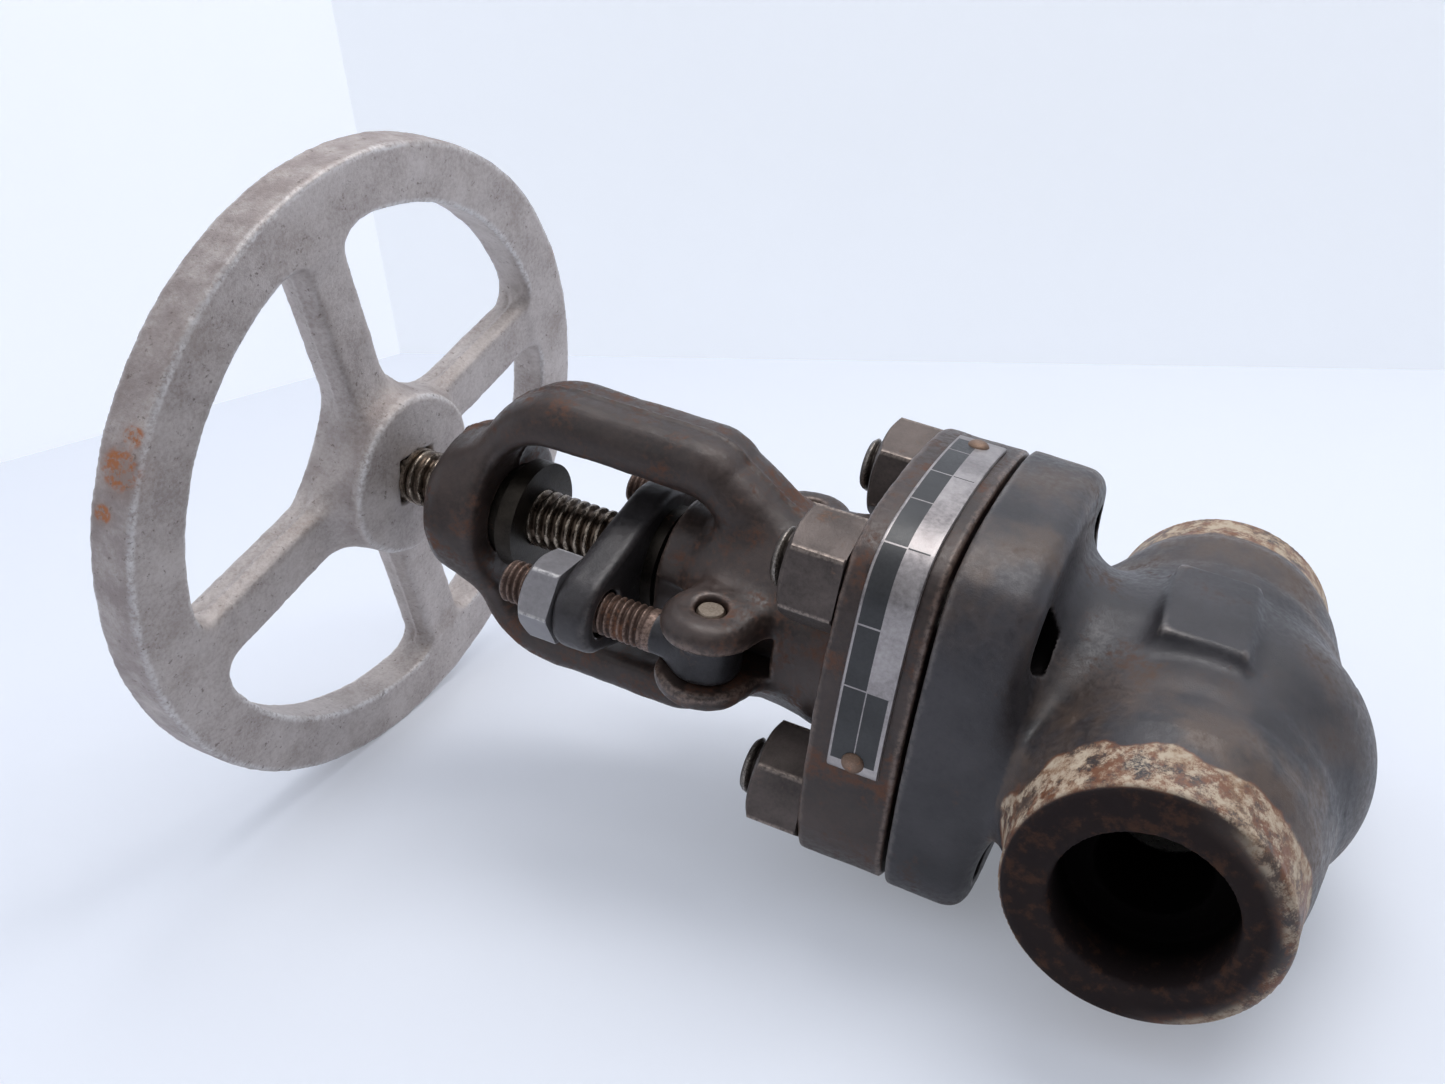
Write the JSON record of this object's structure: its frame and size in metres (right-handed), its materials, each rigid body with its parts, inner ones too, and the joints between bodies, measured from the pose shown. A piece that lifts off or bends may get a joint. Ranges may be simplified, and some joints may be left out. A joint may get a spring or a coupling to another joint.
{
  "type": "gate valve",
  "caption": "Small forged-steel gate valve with socket-weld ends, bolted bonnet, open yoke, bolted gland and a rising spoked handwheel.",
  "frame": {"origin": "where the flow axis crosses the stem axis, in the middle of the body", "axes": "+Z along the stem from the body to the handwheel, +X along the flow axis to the outlet socket, side pad on -Y"},
  "size_m": [0.158, 0.158, 0.2575],
  "materials": {
    "forged_body": "dark heat-oxidised forging, cream paint remains and rust at the collars",
    "forged_bonnet": "dark brown-grey forging with a parting line",
    "seat_steel": "ground facing",
    "stem_steel": "machined, greased and stained",
    "gasket": "soft iron and graphite",
    "stud_steel": "dark threaded steel",
    "nut_brown": "brown-grey oxidised steel",
    "graphite": "braided graphite",
    "rusty_bolt": "rust-brown thread",
    "pin_steel": "dull steel",
    "gland_nut_steel": "worn bright facets",
    "bushing_steel": "grey machined steel",
    "cast_wheel": "silvery grey casting, worn and grainy",
    "nameplate": "etched plate with dark fields",
    "rivet_brown": "brown drive pin"
  },
  "bodies": {
    "root": {"body": "forged_body", "seat_ring_inlet": "seat_steel", "seat_ring_outlet": "seat_steel", "bonnet_yoke": "forged_bonnet", "bonnet_gasket": "gasket", "bonnet_studs": "stud_steel", "bonnet_nuts": "nut_brown", "backseat_bushing": "seat_steel", "packing_washer": "seat_steel", "packing_rings": "graphite", "eyebolt_inlet": "rusty_bolt", "eyebolt_outlet": "rusty_bolt", "eyebolt_pin_inlet": "pin_steel", "eyebolt_pin_outlet": "pin_steel", "yoke_bushing": "bushing_steel", "yoke_bushing_pin": "pin_steel", "nameplate": "nameplate", "nameplate_pins": "rivet_brown"},
    "gate": {"wedge": "seat_steel"},
    "stem_and_wheel": {"stem": "stem_steel", "handwheel": "cast_wheel", "handwheel_washer": "stem_steel", "handwheel_nut": "gland_nut_steel"},
    "gland_assembly": {"gland": "stem_steel", "gland_flange": "forged_bonnet"},
    "inlet_nut": {"gland_nut_inlet": "gland_nut_steel"},
    "outlet_nut": {"gland_nut_outlet": "gland_nut_steel"}
  },
  "joints": [
    {"name": "gate_lift", "type": "slide", "parent": "root", "child": "gate", "axis": [0, 0, 1], "range_m": [0, 0.025]},
    {"name": "handwheel_turn", "type": "hinge", "parent": "gate", "child": "stem_and_wheel", "pos_m": [0, 0, 0.1], "axis": [0, 0, 1], "range_deg": [0, 3540]},
    {"name": "gland_slide", "type": "slide", "parent": "root", "child": "gland_assembly", "axis": [0, 0, 1], "range_m": [0, 0.004]},
    {"name": "inlet_nut_turn", "type": "hinge", "parent": "gland_assembly", "child": "inlet_nut", "pos_m": [-0.0275, 0, 0.137], "axis": [0, 0, 1], "range_deg": [0, 910]},
    {"name": "outlet_nut_turn", "type": "hinge", "parent": "gland_assembly", "child": "outlet_nut", "pos_m": [0.0275, 0, 0.137], "axis": [0, 0, 1], "range_deg": [0, 910]}
  ],
  "couplings": [
    {"joint": "gate_lift", "follows": "handwheel_turn", "m_per_rad": 0.00040425},
    {"joint": "inlet_nut_turn", "follows": "gland_slide", "rad_per_m": 3957.9},
    {"joint": "outlet_nut_turn", "follows": "gland_slide", "rad_per_m": 3957.9}
  ]
}
